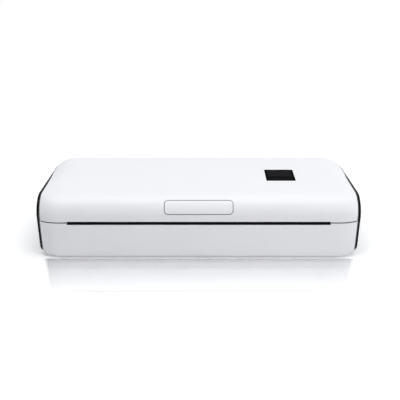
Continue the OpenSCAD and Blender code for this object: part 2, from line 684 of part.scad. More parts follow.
// ---- motor and gear train ----
module stepper_motor() {
    color(STEEL) {
        rod(motor_c, -plate_x, -plate_x + 19, 9.2);
        rod(motor_c, -plate_x - plate_t - 0.3, -plate_x + 1, 3.98);
        rod(motor_c, -gear_x2 - gear_w - 0.4, -plate_x, 1);
    }
}
module motor_pinion() {
    color(GEAR_WHITE) gear(4, pinion_turn, motor_c, gear_x2, 1 + 0.02);
}
module compound_gear() {
    color(GEAR_WHITE) {
        gear(2, compound_turn, compound_c, gear_x, axle_r + run_gap);
        gear(3, compound_turn, compound_c, gear_x2, axle_r + run_gap);
        along_x(-gear_x2 - 0.5, 1.6) translate(compound_c) difference() {
            circle(3.6);
            circle(axle_r + run_gap);
        }
    }
}
module idler_gear() {
    color(GEAR_WHITE) gear(1, idler_turn, idler_c, gear_x, axle_r + run_gap);
}
module gear_axles() {
    color(STEEL) {
        rod(idler_c, -gear_x - gear_w - 0.4, -plate_x, axle_r);
        rod(idler_c, -gear_x + 0.1, -plate_x - plate_t, axle_r + 0.8);
        rod(compound_c, -gear_x2 - gear_w - 0.8, -plate_x, axle_r);
        rod(compound_c, -gear_x + 0.1, -plate_x - plate_t, axle_r + 0.8);
    }
}

// ---- platen on the cover ----
module platen_shaft() {
    color(STEEL) rod(platen_c, -gear_x - gear_w - 0.6, arm_x + 0.8, shaft_r);
}
module platen_rubber() {
    color(RUBBER) along_x(-paper_w / 2, paper_w) translate(platen_c) difference() {
        circle(platen_r);
        circle(shaft_r + 0.01);
    }
}
module platen_gear() {
    color(GEAR_WHITE) gear(0, mesh_1, platen_c, gear_x, shaft_r + 0.01);
}
module platen_bushes() {
    color([0.20, 0.20, 0.21]) both_ends() along_x(paper_w / 2 + 0.4, plate_x + plate_t + 0.3 - paper_w / 2 - 0.4)
        translate(platen_c) difference() {
            circle(bush_r);
            circle(shaft_r + run_gap);
        }
}
module platen_brackets() {
    x0 = paper_w / 2 + 0.6;
    t = plate_x - 0.4 - x0;
    top = inner_top;
    color(STEEL) both_ends() {
        along_x(x0, t) difference() {
            union() {
                translate(platen_c) circle(bush_r + 1.2);
                polygon([platen_c + [-3, 3.5], platen_c + [bush_r + 1, 0], [platen_c[0] + bush_r + 3, top],
                         [edge_c[0] + 0.5, top], [latch_c[0], top - 1], latch_c + [-2, 0]]);
                translate(latch_c) circle(2);
            }
            translate(platen_c) circle(bush_r + 0.01);
            translate(latch_c) circle(latch_pin_r + 0.01);
        }
        // Tab that is screwed under the cover's top
        difference() {
            slab([x0 - 11, edge_c[0] + 0.5, top - plate_t], [11 + t, 8, plate_t]);
            translate([paper_w / 2 - 5, edge_c[0] + 4.5, top - 5]) cylinder(r = 1.02, h = 10);
        }
    }
}
module bracket_screws() {
    color(STEEL) both_ends() translate([paper_w / 2 - 5, edge_c[0] + 4.5, inner_top - plate_t - 1.2])
        screw(2, 1.2, 1, 3.2);
}

// ---- release button and latch ----
module release_button() {
    size = [button_w, button_len()];
    color(SHELL_WHITE) {
        intersection() {
            edge_ring(front_r - button_t, front_r - 0.02);
            button_prism(size, button_corner, 0, front_r + 2);
        }
        // Flange behind the cover that keeps the button in
        intersection() {
            edge_ring(front_r - button_t - 0.6, front_r - wall - 0.4);
            button_prism(size + [3, 1.6], button_corner, 0, front_r + 2);
        }
        // Ribs that push the latch bar
        for (x = [8.2 - button_w / 2, -8, 8, button_w / 2 - 8.2]) button_frame()
            slab([x - 0.7, -1.2, front_r - button_t - 1.65], [1.4, 2.4, 1.9]);
    }
}
module latch_bar() {
    // Moulded bar behind the button, with a tenon at each end for the steel hooks
    color(CHASSIS_BLACK) {
        button_bar(2 * arm_x, [3.6, bar_t]);
        button_bar(2 * (arm_x + arm_t + 0.3), tenon);
    }
}
module latch_hooks() {
    color(STEEL) both_ends() along_x(arm_x, arm_t) difference() {
        union() {
            translate(latch_c) circle(2.3);
            polygon([latch_c + [-2.2, -0.6], latch_c + [1.2, -1.9], bar_c + [2.2, -2], [hook_front + 2, part_z],
                     [hook_front + 2, hook_low], [hook_front, hook_low], [hook_front - 0.9, hook_low + 1.2],
                     [hook_front - 0.9, hook_low + 2], [hook_front, hook_low + 2.8], [hook_front, part_z + 2],
                     bar_c + [-1.4, -1]]);
        }
        translate(latch_c) circle(latch_pin_r + run_gap);
        translate(bar_c) rotate(-press_a) square([tenon[1] + 0.04, tenon[0] + 0.04], center = true);
    }
}
module button_bar(len, size) {
    // The bar that joins the two hooks, square to the button's travel
    translate([0, bar_c[0], bar_c[1]]) rotate([90 - press_a, 0, 0]) cube([len, size[0], size[1]], center = true);
}
module latch_pins() {
    color(STEEL) both_ends() rod(latch_c, paper_w / 2 + 0.5, arm_x + arm_t + 0.3, latch_pin_r);
}
module latch_springs() {
    // Torsion coils round the pins, between the brackets and the hooks
    color(STEEL) both_ends() translate([plate_x - 0.4, latch_c[0], latch_c[1]])
        rotate([0, 90, 0]) coil(2.2, latch_pin_r + 0.42, 0.25, 2);
}

// ---- display ----
module display_window() {
    color([0.02, 0.02, 0.022]) translate([window_c[0], window_c[1], body_h - lens_t])
        linear_extrude(lens_t - 0.05) rounded(window, 0.7);
}
module display_panel() {
    color([0.16, 0.17, 0.18]) translate([window_c[0], window_c[1] + 1, inner_top])
        linear_extrude(wall - lens_t) rounded(window - [4, 5], 0.4);
}
module display_board() {
    color([0.05, 0.28, 0.16]) translate([window_c[0], window_c[1], inner_top - 1.1])
        linear_extrude(1.1) rounded(window + [3, 2], 1);
}
module display_ribbon() {
    // Flat cable under the cover's top, from the display board back to the hinge
    y0 = window_c[1] + window[1] / 2 - 4;
    z0 = inner_top - 1.1;
    arc_c = [back_y - rear_r, body_h - rear_r];
    t = 0.3;
    color([0.82, 0.80, 0.72]) along_x(window_c[0] - 4, 8)
        polygon(concat([[y0, z0], [y0 + 6, z0], [y0 + 8, inner_top]], arc_points(arc_c, rear_r - wall - 0.08, 90, 27, 7),
                       arc_points(arc_c, rear_r - wall - t, 27, 90, 7), [[y0 + 8, inner_top - t], [y0 + 6, z0 - t], [y0, z0 - t]]));
}

// ---- boards, battery and switches ----
module main_board() {
    color([0.04, 0.26, 0.15]) difference() {
        slab([board_mid - board_len / 2, board_y, board_z], [board_len, board_d, board_t]);
        for (p = board_screws) translate([p[0], board_y + p[1], 0]) cylinder(r = 1.1, h = 20);
    }
}
module board_parts() {
    y = board_y;
    z = board_z + board_t;
    color([0.08, 0.08, 0.09]) {
        slab([-10, y + 6, z], [12, 12, 1.4]);
        slab([-36, y + 7, z], [9, 7, 1.2]);
        slab([20, y + 6, z], [8, 8, 1.2]);
    }
    color([0.85, 0.83, 0.75]) {
        slab([-54, y + 12, z], [10, 5, 4.5]);
        slab([40, y + 11, z], [14, 5, 4.5]);
    }
    color(STEEL) for (x = [6, 12, 33]) translate([x, y + 16, z]) cylinder(r = 2, h = 5);
}
module port_board() {
    color([0.04, 0.26, 0.15]) slab([port_x, power_c[0] - 8, floor_z + 1.6], [board_t, port_board[0] - 3, port_board[1]]);
}
module usb_socket() {
    color(STEEL) along_x(port_x + board_t, shell_half - 0.6 - port_x - board_t) translate(port_c) difference() {
        stadium(usb);
        difference() {
            stadium(usb - [0.6, 0.6]);
            square([usb[0] - 2.2, 0.7], center = true);
        }
    }
}
module power_switch() {
    color([0.10, 0.10, 0.11]) slab([port_x + board_t, power_c[0] - 3, power_c[1] - 3], [5 - board_t, 6, 6]);
}
module power_button() {
    x1 = body_w / 2 - cap_t + 1.6;
    color([0.16, 0.16, 0.17]) {
        rod(power_c, port_x + 5 + power_travel + 0.3, x1, power_r);
        rod(power_c, port_x + 5 + power_travel + 0.3, shell_half - wall - 0.4, power_r + 1);
    }
}
module battery_cells() {
    color([0.30, 0.45, 0.62]) for (x = [-cell_len - 0.4, 0.4]) rod(cell_c, x, x + cell_len, cell_r - 0.35);
}
module battery_wrap() {
    // Shrink sleeve round the two cells
    color([0.12, 0.14, 0.30]) along_x(-cell_len - 1.2, 2 * cell_len + 2.4) translate(cell_c) difference() {
        circle(cell_r);
        circle(cell_r - 0.3);
    }
}
module hinge_pins() {
    color(STEEL) both_ends() rod(hinge_c, bay_half - 11, bay_half + bay_wall + ear_w + 0.1, pin_r);
}

base_shell();
cover_shell();
end_cap(-1);  // end_cap_left
end_cap(1);  // end_cap_right
rubber_feet();
case_screws();
chassis();
hinge_brackets();
hinge_pins();
exit_guide();
tear_bar();
frame_plate_left();
frame_plate_right();
spring_bracket();
head_heatsink();
head_ceramic();
head_driver_cover();
head_pins();
head_springs();
stepper_motor();
motor_pinion();
compound_gear();
idler_gear();
gear_axles();
platen_shaft();
platen_rubber();
platen_gear();
platen_bushes();
platen_brackets();
bracket_screws();
upper_guide();
release_button();
latch_bar();
latch_hooks();
latch_pins();
latch_springs();
display_window();
display_panel();
display_board();
display_ribbon();
main_board();
board_parts();
port_board();
usb_socket();
power_switch();
power_button();
battery_cells();
battery_wrap();
head_ribbon();
paper_sensor();
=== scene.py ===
import bpy
import bmesh
import math
import random
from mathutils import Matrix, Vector


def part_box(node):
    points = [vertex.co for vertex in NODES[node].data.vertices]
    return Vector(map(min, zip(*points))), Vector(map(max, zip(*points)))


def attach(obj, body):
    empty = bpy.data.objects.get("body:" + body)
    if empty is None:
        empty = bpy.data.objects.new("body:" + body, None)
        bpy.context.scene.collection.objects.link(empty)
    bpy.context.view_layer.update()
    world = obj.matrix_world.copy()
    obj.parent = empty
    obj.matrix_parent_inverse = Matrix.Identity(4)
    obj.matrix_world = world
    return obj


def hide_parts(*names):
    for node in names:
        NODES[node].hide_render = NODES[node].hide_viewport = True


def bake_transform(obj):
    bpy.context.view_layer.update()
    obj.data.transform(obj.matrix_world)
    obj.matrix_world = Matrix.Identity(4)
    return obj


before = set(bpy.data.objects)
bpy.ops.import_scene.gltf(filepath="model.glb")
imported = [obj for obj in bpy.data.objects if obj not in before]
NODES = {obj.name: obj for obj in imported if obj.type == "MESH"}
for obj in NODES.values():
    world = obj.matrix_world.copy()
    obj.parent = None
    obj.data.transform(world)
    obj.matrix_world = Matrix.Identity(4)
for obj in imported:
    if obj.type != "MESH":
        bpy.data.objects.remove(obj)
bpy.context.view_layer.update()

# A4 portable thermal printer: looks and small detail on the part's nodes, in a plain white studio.
# Lengths are in millimetres, and MM turns them into metres. Materials use object coordinates, which
# on every node are the part's own coordinates. Noise scales are per metre.
MM = 0.001

# ---------------------------------------------------------------- places shared with the part (mm)
BODY_D, BODY_H = 107.0, 54.0
FRONT_Y = -BODY_D / 2
FRONT_R = 17.0                  # rounding of the cover's front top edge
WALL = 2.2                      # cover's wall at the roof
PART_Z = 34.0                   # parting plane of base and cover
EXIT_HALF = 109.1               # half the width of the paper exit
TAPER_X, TAPER_LEN = 116.5, 16.2  # where the ends begin to draw in, and over what length
TAPER_R, DRAW = 30.0, 4.2       # arc on which they draw in, and by how much at the front
BUTTON_HALF = 28.2              # half the width of the release button
BUTTON_MID, BUTTON_HALF_ARC = 36.0, 20.0  # its place on the front rounding, in degrees above the horizontal
BUTTON_CORNER = 3.2


# ---------------------------------------------------------------- node helpers
def new_mat(name):
    """An empty node material with a Principled shader on its output."""
    m = bpy.data.materials.new(name)
    m.use_nodes = True
    nt = m.node_tree
    nt.nodes.clear()
    out = nt.nodes.new("ShaderNodeOutputMaterial")
    b = nt.nodes.new("ShaderNodeBsdfPrincipled")
    nt.links.new(b.outputs["BSDF"], out.inputs["Surface"])
    return m, nt, b


def principled(m):
    return m.node_tree.nodes["Principled BSDF"]


def coords(nt, scale=(1, 1, 1)):
    tc = nt.nodes.new("ShaderNodeTexCoord")
    mp = nt.nodes.new("ShaderNodeMapping")
    mp.inputs["Scale"].default_value = scale
    nt.links.new(tc.outputs["Object"], mp.inputs["Vector"])
    return mp.outputs["Vector"]


def split_xyz(nt, vec):
    s = nt.nodes.new("ShaderNodeSeparateXYZ")
    nt.links.new(vec, s.inputs["Vector"])
    return s.outputs["X"], s.outputs["Y"], s.outputs["Z"]


def noise(nt, vec, scale, detail=4.0, rough=0.55):
    n = nt.nodes.new("ShaderNodeTexNoise")
    n.inputs["Scale"].default_value = scale
    n.inputs["Detail"].default_value = detail
    n.inputs["Roughness"].default_value = rough
    nt.links.new(vec, n.inputs["Vector"])
    return n.outputs["Fac"]


def ramp(nt, fac, c0, c1):
    r = nt.nodes.new("ShaderNodeValToRGB")
    low, high = r.color_ramp.elements
    low.position, high.position = 0.35, 0.65
    low.color, high.color = (*c0, 1), (*c1, 1)
    nt.links.new(fac, r.inputs["Fac"])
    return r.outputs["Color"]


def mix_color(nt, fac, c0, c1):
    """Mix of two colours, each a tuple or a socket."""
    m = nt.nodes.new("ShaderNodeMix")
    m.data_type = "RGBA"
    nt.links.new(fac, m.inputs["Factor"])
    for sock, v in ((m.inputs[6], c0), (m.inputs[7], c1)):
        if isinstance(v, tuple):
            sock.default_value = (*v, 1)
        else:
            nt.links.new(v, sock)
    return m.outputs[2]


def mix_shader(nt, fac, first, second):
    m = nt.nodes.new("ShaderNodeMixShader")
    for sock, v in zip(m.inputs, (fac, first, second)):
        nt.links.new(v, sock)
    return m.outputs[0]


def calc(nt, op, a, b=None):
    """A Math node on numbers or sockets."""
    m = nt.nodes.new("ShaderNodeMath")
    m.operation = op
    for sock, v in zip(m.inputs, (a, b)):
        if isinstance(v, (int, float)):
            sock.default_value = v
        elif v is not None:
            nt.links.new(v, sock)
    return m.outputs[0]


def product(nt, first, *more):
    for v in more:
        first = calc(nt, "MULTIPLY", first, v)
    return first


def map_range(nt, value, src=(0.0, 1.0), dst=(0.0, 1.0), smooth=False):
    m = nt.nodes.new("ShaderNodeMapRange")
    if smooth:
        m.interpolation_type = "SMOOTHSTEP"
    for key, v in zip(("From Min", "From Max", "To Min", "To Max"), (*src, *dst)):
        m.inputs[key].default_value = v
    nt.links.new(value, m.inputs["Value"])
    return m.outputs["Result"]


def above(nt, value, lo, soft=0.05):
    """1 where value > lo mm, with an edge that is soft over twice soft mm."""
    return map_range(nt, value, ((lo - soft) * MM, (lo + soft) * MM), smooth=True)


def below(nt, value, hi, soft=0.05):
    return map_range(nt, value, ((hi - soft) * MM, (hi + soft) * MM), (1.0, 0.0), smooth=True)


def between(nt, value, lo, hi, soft=0.05):
    return product(nt, above(nt, value, lo, soft), below(nt, value, hi, soft))


def lines_along(nt, coord, pitch, duty):
    """Square stripes across a coordinate, one for each pitch in mm."""
    return calc(nt, "LESS_THAN", calc(nt, "FRACT", calc(nt, "DIVIDE", coord, pitch * MM)), duty)


def tint(c, k):
    return tuple(min(1.0, v * k) for v in c)


def color_from(nt, b, color):
    nt.links.new(color, b.inputs["Base Color"])


def rough_from(nt, b, fac, lo, hi):
    nt.links.new(map_range(nt, fac, dst=(lo, hi)), b.inputs["Roughness"])


def bump(nt, b, height, strength, dist):
    n = nt.nodes.new("ShaderNodeBump")
    n.inputs["Strength"].default_value = strength
    n.inputs["Distance"].default_value = dist * MM
    nt.links.new(height, n.inputs["Height"])
    nt.links.new(n.outputs["Normal"], b.inputs["Normal"])


def coat(b, weight, rough):
    b.inputs["Coat Weight"].default_value = weight
    b.inputs["Coat Roughness"].default_value = rough


def eye_rays(nt):
    """1 for rays that show a thing: straight, in a reflection or through glass. 0 for rays that light it."""
    path = nt.nodes.new("ShaderNodeLightPath")
    return calc(nt, "MAXIMUM", path.outputs["Is Camera Ray"],
                calc(nt, "MAXIMUM", path.outputs["Is Glossy Ray"], path.outputs["Is Transmission Ray"]))


def box_mm(node):
    lo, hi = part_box(node)
    return [c / MM for c in lo], [c / MM for c in hi]


# ---------------------------------------------------------------- material families
def plastic(name, color, rough=0.45, grain=2600.0, grain_h=0.02, vary=0.03, coated=0.0, gloss=0.5):
    """Moulded plastic: a fine spark-eroded grain, slow colour drift and uneven gloss."""
    m, nt, b = new_mat(name)
    v = coords(nt)
    color_from(nt, b, ramp(nt, noise(nt, v, 18.0, 3.0), tint(color, 1 - vary), tint(color, 1 + vary * 0.4)))
    rough_from(nt, b, noise(nt, v, 90.0, 5.0), rough - 0.06, rough + 0.06)
    bump(nt, b, noise(nt, v, grain, 2.0, 0.6), 0.35, grain_h)
    b.inputs["Specular IOR Level"].default_value = gloss
    if coated:
        coat(b, coated, 0.12)
    return m


def metal(name, color, rough=0.3, axis=0, streak=900.0, vary=0.08, metallic=1.0):
    """Rolled or ground metal: fine lines along one axis and a cloudy gloss."""
    m, nt, b = new_mat(name)
    scale = [streak] * 3
    scale[axis] = streak * 0.02
    lines = noise(nt, coords(nt, scale), 1.0, 2.0, 0.5)
    cloud = noise(nt, coords(nt), 70.0)
    color_from(nt, b, ramp(nt, cloud, tint(color, 1 - vary), tint(color, 1 + vary)))
    rough_from(nt, b, lines, rough - 0.08, rough + 0.12)
    bump(nt, b, lines, 0.25, 0.02)
    b.inputs["Metallic"].default_value = metallic
    return m


def turned(name, color, rough=0.22):
    """Ground round stock: fine rings round X."""
    m, nt, b = new_mat(name)
    rings = noise(nt, coords(nt, (6000, 30, 30)), 1.0, 2.0, 0.6)
    color_from(nt, b, ramp(nt, noise(nt, coords(nt), 120.0), tint(color, 0.9), tint(color, 1.05)))
    rough_from(nt, b, rings, rough - 0.06, rough + 0.14)
    bump(nt, b, rings, 0.3, 0.015)
    b.inputs["Metallic"].default_value = 1.0
    return m


def rubber(name, color, rough=0.72, grain=5200.0):
    m, nt, b = new_mat(name)
    v = coords(nt)
    color_from(nt, b, ramp(nt, noise(nt, v, 150.0, 5.0), tint(color, 0.8), tint(color, 1.5)))
    rough_from(nt, b, noise(nt, v, 800.0), rough - 0.08, rough + 0.1)
    bump(nt, b, noise(nt, v, grain, 3.0, 0.7), 0.5, 0.04)
    b.inputs["Specular IOR Level"].default_value = 0.35
    return m


def board(name):
    """Green solder mask over routed copper, with tinned pads."""
    m, nt, b = new_mat(name)
    v = coords(nt)
    cell = nt.nodes.new("ShaderNodeTexVoronoi")
    cell.feature = "DISTANCE_TO_EDGE"
    cell.inputs["Scale"].default_value = 330.0
    pads = nt.nodes.new("ShaderNodeTexVoronoi")
    pads.inputs["Scale"].default_value = 520.0
    pads.inputs["Randomness"].default_value = 0.25
    for texture in (cell, pads):
        nt.links.new(v, texture.inputs["Vector"])
    track = calc(nt, "LESS_THAN", cell.outputs["Distance"], 0.07)
    bus = product(nt, lines_along(nt, split_xyz(nt, v)[1], 1.3, 0.45),
                  calc(nt, "GREATER_THAN", noise(nt, coords(nt, (60, 25, 25)), 1.0, 1.0), 0.52))
    copper = calc(nt, "MAXIMUM", track, bus)
    mask = mix_color(nt, copper, (0.008, 0.085, 0.040), (0.020, 0.155, 0.070))
    pad = product(nt, calc(nt, "LESS_THAN", pads.outputs["Distance"], 0.17),
                  calc(nt, "GREATER_THAN", noise(nt, v, 95.0, 1.0), 0.55))
    color_from(nt, b, mix_color(nt, pad, mask, (0.62, 0.60, 0.55)))
    rough_from(nt, b, noise(nt, v, 260.0), 0.26, 0.42)
    nt.links.new(product(nt, pad, 0.9), b.inputs["Metallic"])
    bump(nt, b, copper, 0.4, 0.03)
    return m


def flat_cable(name, base, wire):
    """Flat cable: conductors side by side, 1 mm apart, under a clear film."""
    m, nt, b = new_mat(name)
    v = coords(nt)
    wires = lines_along(nt, split_xyz(nt, v)[0], 1.0, 0.55)
    color_from(nt, b, mix_color(nt, wires, base, wire))
    rough_from(nt, b, noise(nt, v, 300.0), 0.28, 0.45)
    bump(nt, b, wires, 0.35, 0.04)
    coat(b, 0.5, 0.15)
    return m


SHELL_RGB = (0.885, 0.885, 0.905)
WHITE = plastic("shell_white", SHELL_RGB, rough=0.44, vary=0.008, grain=3200.0)
BLACK = plastic("strip_black", (0.0040, 0.0040, 0.0045), rough=0.62, vary=0.2, grain=3000.0, gloss=0.04)
CHASSIS = plastic("chassis_black", (0.022, 0.022, 0.024), rough=0.56, vary=0.2, grain=1500.0, grain_h=0.05)
GUIDE = plastic("guide_black", (0.006, 0.006, 0.007), rough=0.62, vary=0.2, grain=1800.0, gloss=0.12)
STEEL = metal("sheet_steel", (0.60, 0.61, 0.62), rough=0.34)
DARK_STEEL = metal("blackened_steel", (0.012, 0.012, 0.013), rough=0.45, vary=0.2, metallic=0.7)
ZINC = metal("zinc_screw", (0.50, 0.51, 0.53), rough=0.38, axis=2, streak=1500.0)
WIRE = metal("spring_wire", (0.56, 0.57, 0.59), rough=0.26, axis=2, streak=2500.0)
ALU = metal("extruded_aluminium", (0.74, 0.75, 0.76), rough=0.36, streak=1400.0, vary=0.05)
GROUND = turned("ground_steel", (0.66, 0.67, 0.68))
ACETAL = plastic("gear_acetal", (0.78, 0.77, 0.71), rough=0.38, vary=0.04, grain=900.0, grain_h=0.01)
principled(ACETAL).inputs["Subsurface Weight"].default_value = 0.12
principled(ACETAL).inputs["Subsurface Radius"].default_value = (0.0012, 0.0011, 0.0008)
PINION = metal("pinion_brass", (0.72, 0.55, 0.27), streak=1800.0)
RUBBER = rubber("platen_silicone", (0.030, 0.030, 0.032))
FOOT = rubber("foot_rubber", (0.040, 0.040, 0.042), rough=0.8, grain=2400.0)
PCB = board("solder_mask")
PACKAGE = plastic("chip_moulding", (0.018, 0.018, 0.020), rough=0.5, vary=0.2, grain=4000.0)
FILM = plastic("battery_film", (0.020, 0.045, 0.17), rough=0.3, vary=0.15, grain=500.0, grain_h=0.08, coated=0.6)
CELL = metal("cell_can", (0.42, 0.50, 0.60), rough=0.32, streak=600.0, metallic=0.4)
FFC = flat_cable("flat_cable_white", (0.74, 0.73, 0.68), (0.46, 0.45, 0.41))
BUSH = plastic("bush_polymer", (0.060, 0.060, 0.062), rough=0.5, vary=0.2, grain=1200.0)
CAP_GREY = plastic("power_button_grey", (0.035, 0.035, 0.037), rough=0.42, vary=0.15)
DRIVER = plastic("driver_moulding", (0.016, 0.016, 0.017), rough=0.34, vary=0.25, grain=900.0)
# Small parts on the boards
IVORY = plastic("connector_ivory", (0.70, 0.67, 0.58), rough=0.42, vary=0.05, grain=1500.0)
TIN = metal("tinned_lead", (0.66, 0.66, 0.67), rough=0.28, streak=3000.0)
GOLD = metal("gold_contact", (0.78, 0.60, 0.27), rough=0.22, streak=3000.0)
RESIST = plastic("resistor_glaze", (0.030, 0.028, 0.027), rough=0.35, vary=0.2, grain=5000.0)
TAN = plastic("capacitor_tan", (0.42, 0.31, 0.19), rough=0.5, vary=0.15, grain=4000.0)


# ---------------------------------------------------------------- materials of single nodes
def shell_material(name, gap_shade_z, end_x, exit_lip_shade=False):
    """The shells' white: black rims at the ends, painted shade on the parting edges beside the paper exit and on the
    paper exit's lower lip.

    The second argument is the height band of the parting edge that takes the painted shade, end_x the distance of
    the shell's end from the middle."""
    m = plastic(name, SHELL_RGB, rough=0.44, vary=0.008, grain=3200.0)
    nt, b = m.node_tree, principled(m)
    col = b.inputs["Base Color"].links[0].from_socket
    x, y, z = split_xyz(nt, coords(nt))
    off_mid = calc(nt, "ABSOLUTE", x)
    # Painted shade: a dark grey band on the parting edges beside the paper exit, standing in for the shade in the
    # parting gap
    seam = product(nt, between(nt, z, *gap_shade_z, 0.04), between(nt, off_mid, 109.3, 131.0, 0.4),
                   between(nt, y, -54.5, -45.5))
    col = mix_color(nt, seam, col, (0.060, 0.062, 0.068))
    # The rim widens towards the strip's upper end and tapers off behind it
    rim_w = map_range(nt, y, (-46.0 * MM, -4.0 * MM), (0.68 * MM, 1.15 * MM), smooth=True)
    inner = calc(nt, "SUBTRACT", end_x * MM, product(nt, rim_w, between(nt, y, -100.0, 8.0, 10.0)))
    rim = product(nt, above(nt, calc(nt, "SUBTRACT", off_mid, inner), 0.0, 0.03),
                  calc(nt, "LESS_THAN", off_mid, (end_x - 0.04) * MM))
    col = mix_color(nt, rim, col, (0.004, 0.004, 0.0045))
    # Painted shade: a black band on the paper exit's lower lip, standing in for the shade inside the exit
    if exit_lip_shade:
        black = product(nt, between(nt, z, 32.18, 32.62, 0.03), between(nt, off_mid, -100.0, EXIT_HALF),
                        between(nt, y, -54.0, -51.1))
        col = mix_color(nt, black, col, (0.005, 0.005, 0.006))
    color_from(nt, b, col)
    return m


def button_material():
    """White button with painted shade on its edges and sides, for the shade in the gap round it: distance from its
    rounded outline, unrolled round the front rounding.
    """
    m = plastic("button_white", SHELL_RGB, rough=0.42, vary=0.008, grain=3200.0)
    nt, b = m.node_tree, principled(m)
    col = b.inputs["Base Color"].links[0].from_socket
    x, y, z = split_xyz(nt, coords(nt))
    angle = calc(nt, "ARCTAN2", calc(nt, "SUBTRACT", z, (BODY_H - FRONT_R) * MM),
                 calc(nt, "SUBTRACT", (FRONT_Y + FRONT_R) * MM, y))
    along = product(nt, calc(nt, "SUBTRACT", angle, math.radians(BUTTON_MID)), FRONT_R * MM)
    half = (BUTTON_HALF, FRONT_R * math.radians(BUTTON_HALF_ARC))
    qx, qy = (calc(nt, "SUBTRACT", calc(nt, "ABSOLUTE", v), (h - BUTTON_CORNER) * MM)
              for v, h in zip((x, along), half))
    ox, oy = (calc(nt, "MAXIMUM", q, 0.0) for q in (qx, qy))
    outside = calc(nt, "SQRT", calc(nt, "ADD", product(nt, ox, ox), product(nt, oy, oy)))
    d = calc(nt, "ADD", outside, calc(nt, "MINIMUM", calc(nt, "MAXIMUM", qx, qy), 0.0))
    # Painted shade on the button's outline and on its sides in the gap
    color_from(nt, b, mix_color(nt, above(nt, d, BUTTON_CORNER - 0.22, 0.06), col, (0.10, 0.10, 0.11)))
    return m


def lens_material():
    """Smoked lens: black printed border, a dark pane behind it and a black band across the pane."""
    lo, hi = box_mm("display_window")
    m, nt, b = new_mat("smoked_lens")
    v = coords(nt)
    x, y, _ = split_xyz(nt, v)
    band_lo, band_hi = lo[1] + 6.6, lo[1] + 9.4
    pane = product(nt, between(nt, x, lo[0] + 2.2, hi[0] - 2.2), between(nt, y, lo[1] + 1.6, hi[1] - 2.4))
    for part, dimmed in ((between(nt, y, band_lo, band_hi, 0.4), 0.85),
                         (between(nt, y, lo[1] - 1, band_lo, 0.3), 0.55)):
        pane = product(nt, pane, calc(nt, "SUBTRACT", 1.0, product(nt, part, dimmed)))
    grid = calc(nt, "MAXIMUM", lines_along(nt, x, 0.4, 0.12), lines_along(nt, y, 0.4, 0.12))
    pane_col = mix_color(nt, grid, (0.0115, 0.0117, 0.0128), (0.0100, 0.0102, 0.0112))
    color_from(nt, b, mix_color(nt, pane, (0.0010, 0.0010, 0.0011), pane_col))
    rough_from(nt, b, noise(nt, v, 60.0), 0.10, 0.16)
    b.inputs["Specular IOR Level"].default_value = 0.003
    return m


def ceramic_material():
    """Glazed ceramic strip: a dark heater line under the platen, gold leads on both sides of it."""
    lo, hi = box_mm("platen_shaft")
    yc = (lo[1] + hi[1]) / 2
    m, nt, b = new_mat("glazed_ceramic")
    v = coords(nt)
    x, y, _ = split_xyz(nt, v)
    leads = product(nt, lines_along(nt, x, 0.8, 0.5), between(nt, y, yc - 3.4, yc + 3.6))
    body = ramp(nt, noise(nt, v, 45.0), (0.70, 0.69, 0.63), (0.76, 0.75, 0.69))
    col = mix_color(nt, leads, body, (0.62, 0.50, 0.26))
    color_from(nt, b, mix_color(nt, between(nt, y, yc - 0.45, yc + 0.45), col, (0.060, 0.032, 0.022)))
    rough_from(nt, b, noise(nt, v, 200.0), 0.12, 0.22)
    coat(b, 0.8, 0.06)
    return m


def motor_material():
    """Plated motor can with its seam."""
    m, nt, b = new_mat("motor_can")
    v = coords(nt)
    seam = between(nt, split_xyz(nt, v)[0], -102.2, -101.6)
    plating = ramp(nt, noise(nt, v, 80.0), (0.50, 0.51, 0.52), (0.58, 0.59, 0.60))
    color_from(nt, b, mix_color(nt, seam, plating, (0.10, 0.10, 0.10)))
    rough_from(nt, b, noise(nt, coords(nt, (2600, 20, 20)), 1.0, 2.0), 0.26, 0.46)
    bump(nt, b, seam, 0.5, 0.3)
    b.inputs["Metallic"].default_value = 1.0
    return m


LOOKS = (
    (button_material(), "release_button"),
    (shell_material("base_white", (33.5, 33.9), 132.70, exit_lip_shade=True), "base_shell"),
    (shell_material("cover_white", (34.1, 34.5), 132.35), "cover_shell"),
    (BLACK, "end_cap_left end_cap_right"),
    (CHASSIS, "chassis latch_bar power_switch"),
    (GUIDE, "exit_guide upper_guide paper_sensor"),
    (STEEL, "hinge_brackets frame_plate_left frame_plate_right spring_bracket platen_brackets usb_socket "
            "latch_hooks"),
    (DARK_STEEL, "tear_bar"),
    (ZINC, "case_screws bracket_screws"),
    (WIRE, "head_springs latch_springs"),
    (ALU, "head_heatsink"),
    (GROUND, "hinge_pins head_pins gear_axles platen_shaft latch_pins"),
    (ACETAL, "platen_gear idler_gear compound_gear"),
    (PINION, "motor_pinion"),
    (RUBBER, "platen_rubber"),
    (FOOT, "rubber_feet"),
    (PCB, "main_board port_board display_board"),
    (PACKAGE, "board_parts display_panel"),
    (FILM, "battery_wrap"),
    (CELL, "battery_cells"),
    (FFC, "head_ribbon display_ribbon"),
    (BUSH, "platen_bushes"),
    (CAP_GREY, "power_button"),
    (DRIVER, "head_driver_cover"),
    (lens_material(), "display_window"),
    (ceramic_material(), "head_ceramic"),
    (motor_material(), "stepper_motor"),
)


def smooth_below(o, angle):
    """Shades an object smooth, apart from edges sharper than an angle in degrees."""
    for p in o.data.polygons:
        p.use_smooth = True
    e = o.modifiers.new("edges", "EDGE_SPLIT")
    e.split_angle = math.radians(angle)
    e.use_edge_sharp = False


for mat, names in LOOKS:
    for n in names.split():
        NODES[n].data.materials.clear()
        NODES[n].data.materials.append(mat)
for n in NODES:
    NODES[n].modifiers.new("weld", "WELD").merge_threshold = 0.01 * MM
    smooth_below(NODES[n], 24.0)


# ---------------------------------------------------------------- small detail in mesh code (mm)
def mesh_object(name, bm, mats=()):
    """Turns a bmesh into an object of the scene and frees it."""
    me = bpy.data.meshes.new(name)
    bm.to_mesh(me)
    bm.free()
    for m in mats:
        me.materials.append(m)
    o = bpy.data.objects.new(name, me)
    bpy.context.scene.collection.objects.link(o)
    return o


